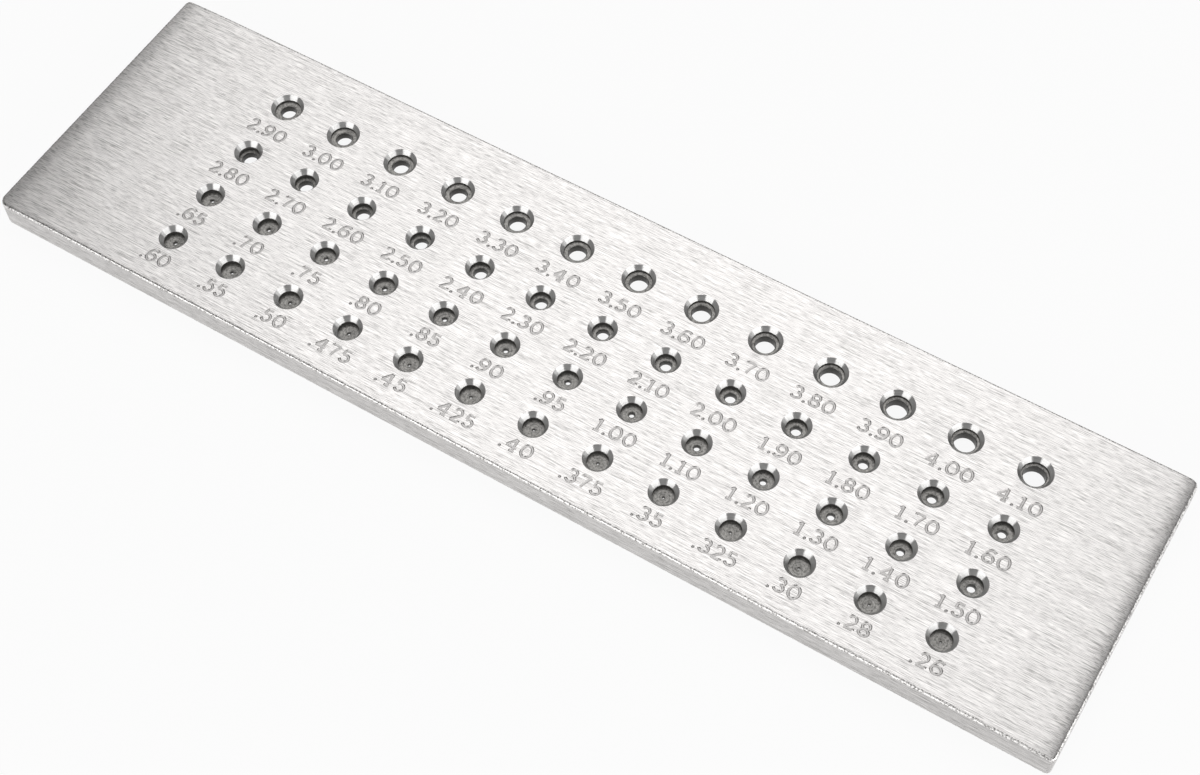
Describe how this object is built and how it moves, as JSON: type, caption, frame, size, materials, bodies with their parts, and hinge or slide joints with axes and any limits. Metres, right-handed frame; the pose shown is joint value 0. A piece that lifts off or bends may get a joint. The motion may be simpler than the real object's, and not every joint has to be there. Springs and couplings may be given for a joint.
{
  "type": "wire draw plate",
  "caption": "Flat brushed steel plate with rows of pressed-in carbide dies, each marked with its hole size, for drawing round wire thinner by hand.",
  "frame": {"origin": "middle of the back face, on which the plate rests", "axes": "+X along the rows of dies, +Y towards the row of the largest dies, +Z out of the marked face"},
  "size_m": [0.2206, 0.06, 0.006],
  "materials": {
    "plate_steel": "brushed along the length",
    "die_carbide": "sintered, with ground faces and lapped bores"
  },
  "bodies": {
    "root": {"plate": "plate_steel", "die_2_90": "die_carbide", "die_3_00": "die_carbide", "die_3_10": "die_carbide", "die_3_20": "die_carbide", "die_3_30": "die_carbide", "die_3_40": "die_carbide", "die_3_50": "die_carbide", "die_3_60": "die_carbide", "die_3_70": "die_carbide", "die_3_80": "die_carbide", "die_3_90": "die_carbide", "die_4_00": "die_carbide", "die_4_10": "die_carbide", "die_2_80": "die_carbide", "die_2_70": "die_carbide", "die_2_60": "die_carbide", "die_2_50": "die_carbide", "die_2_40": "die_carbide", "die_2_30": "die_carbide", "die_2_20": "die_carbide", "die_2_10": "die_carbide", "die_2_00": "die_carbide", "die_1_90": "die_carbide", "die_1_80": "die_carbide", "die_1_70": "die_carbide", "die_1_60": "die_carbide", "die_0_65": "die_carbide", "die_0_70": "die_carbide", "die_0_75": "die_carbide", "die_0_80": "die_carbide", "die_0_85": "die_carbide", "die_0_90": "die_carbide", "die_0_95": "die_carbide", "die_1_00": "die_carbide", "die_1_10": "die_carbide", "die_1_20": "die_carbide", "die_1_30": "die_carbide", "die_1_40": "die_carbide", "die_1_50": "die_carbide", "die_0_60": "die_carbide", "die_0_55": "die_carbide", "die_0_50": "die_carbide", "die_0_475": "die_carbide", "die_0_45": "die_carbide", "die_0_425": "die_carbide", "die_0_40": "die_carbide", "die_0_375": "die_carbide", "die_0_35": "die_carbide", "die_0_325": "die_carbide", "die_0_30": "die_carbide", "die_0_28": "die_carbide", "die_0_26": "die_carbide"}
  },
  "joints": []
}
